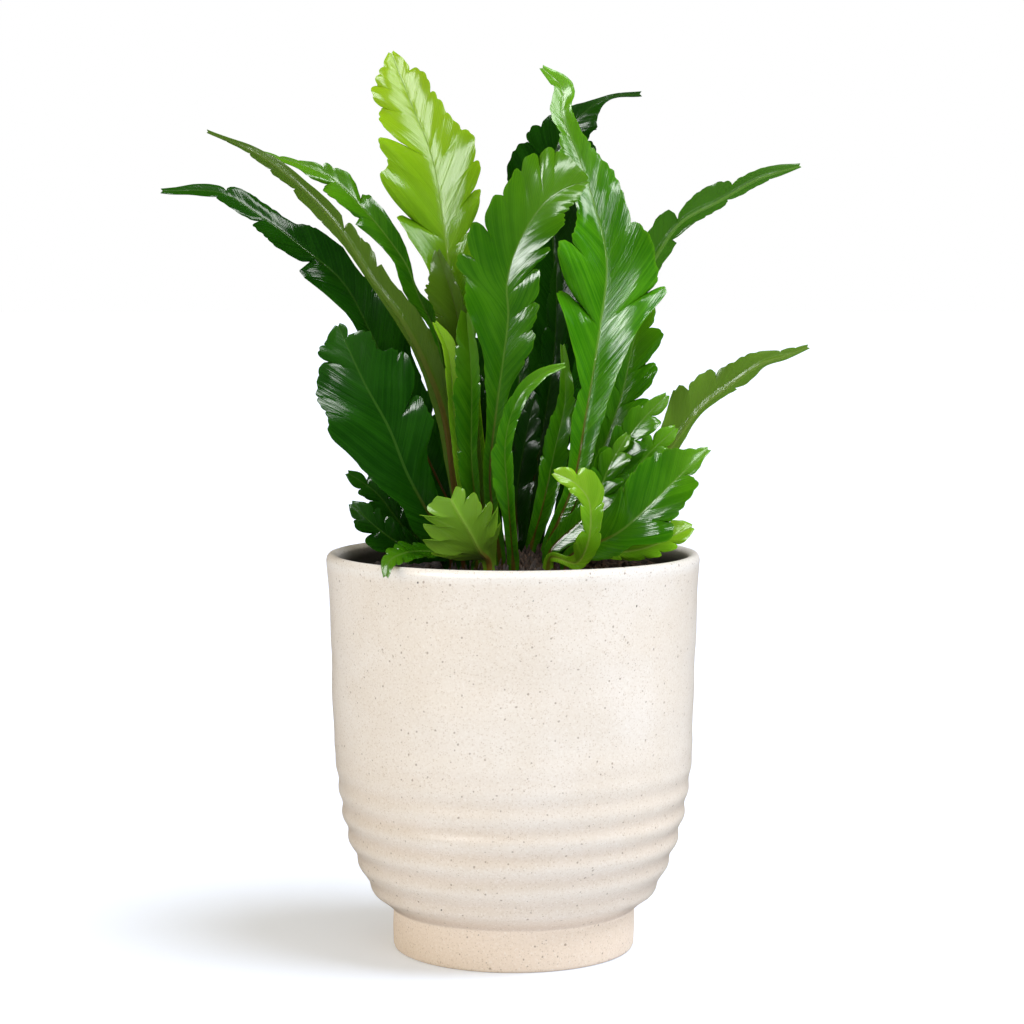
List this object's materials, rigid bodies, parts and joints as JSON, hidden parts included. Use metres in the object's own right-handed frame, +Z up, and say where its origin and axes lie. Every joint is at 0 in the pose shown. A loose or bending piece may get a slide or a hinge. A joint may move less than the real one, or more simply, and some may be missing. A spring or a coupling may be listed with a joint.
{
  "type": "potted fern",
  "caption": "Bird's nest fern with long lobed and waved fronds that rise from a crown in soil, in a speckled cream stoneware pot with a foot ring.",
  "frame": {"origin": "centre of the pot's flat underside", "axes": "+Z up, -Y towards the front"},
  "size_m": [0.251, 0.1737, 0.3499],
  "materials": {
    "stoneware": "satin speckled glaze",
    "soil": "damp crumbs",
    "crown": "brown scales",
    "frond_lime": "glossy",
    "frond_bright": "glossy",
    "frond_mid": "glossy",
    "frond_dark": "glossy",
    "frond_olive": "satin underside"
  },
  "bodies": {
    "root": {"pot": "stoneware", "soil": "soil", "crown": "crown", "frond_tall_left": "frond_lime", "frond_front_middle": "frond_mid", "frond_tall_right": "frond_mid", "frond_behind_right": "frond_dark", "frond_upper_right": "frond_mid", "frond_lobed_right": "frond_mid", "frond_lower_right": "frond_olive", "frond_front_right": "frond_mid", "frond_young_bright": "frond_bright", "frond_small_pale": "frond_bright", "frond_long_left_low": "frond_dark", "frond_long_left_twist": "frond_olive", "frond_long_left_high": "frond_mid", "frond_big_left": "frond_dark", "frond_low_left_high": "frond_dark", "frond_low_left_low": "frond_dark", "frond_fan_front": "frond_olive", "frond_over_lip": "frond_mid", "frond_curled_young": "frond_mid", "frond_folded_middle": "frond_mid", "frond_dark_middle": "frond_dark", "frond_curled_olive": "frond_olive", "frond_green_fold": "frond_mid", "frond_bright_fold": "frond_bright", "frond_inner_front": "frond_dark", "frond_inner_left": "frond_dark", "frond_short_glossy": "frond_mid", "frond_short_fingers": "frond_mid", "frond_short_pale": "frond_mid", "frond_back_right": "frond_dark", "frond_back_high": "frond_dark", "frond_back_middle": "frond_dark", "frond_back_left": "frond_dark", "frond_back_far_left": "frond_dark", "frond_back_low_left": "frond_dark", "frond_back_low_right": "frond_dark", "frond_back_low_middle": "frond_dark"}
  },
  "joints": []
}
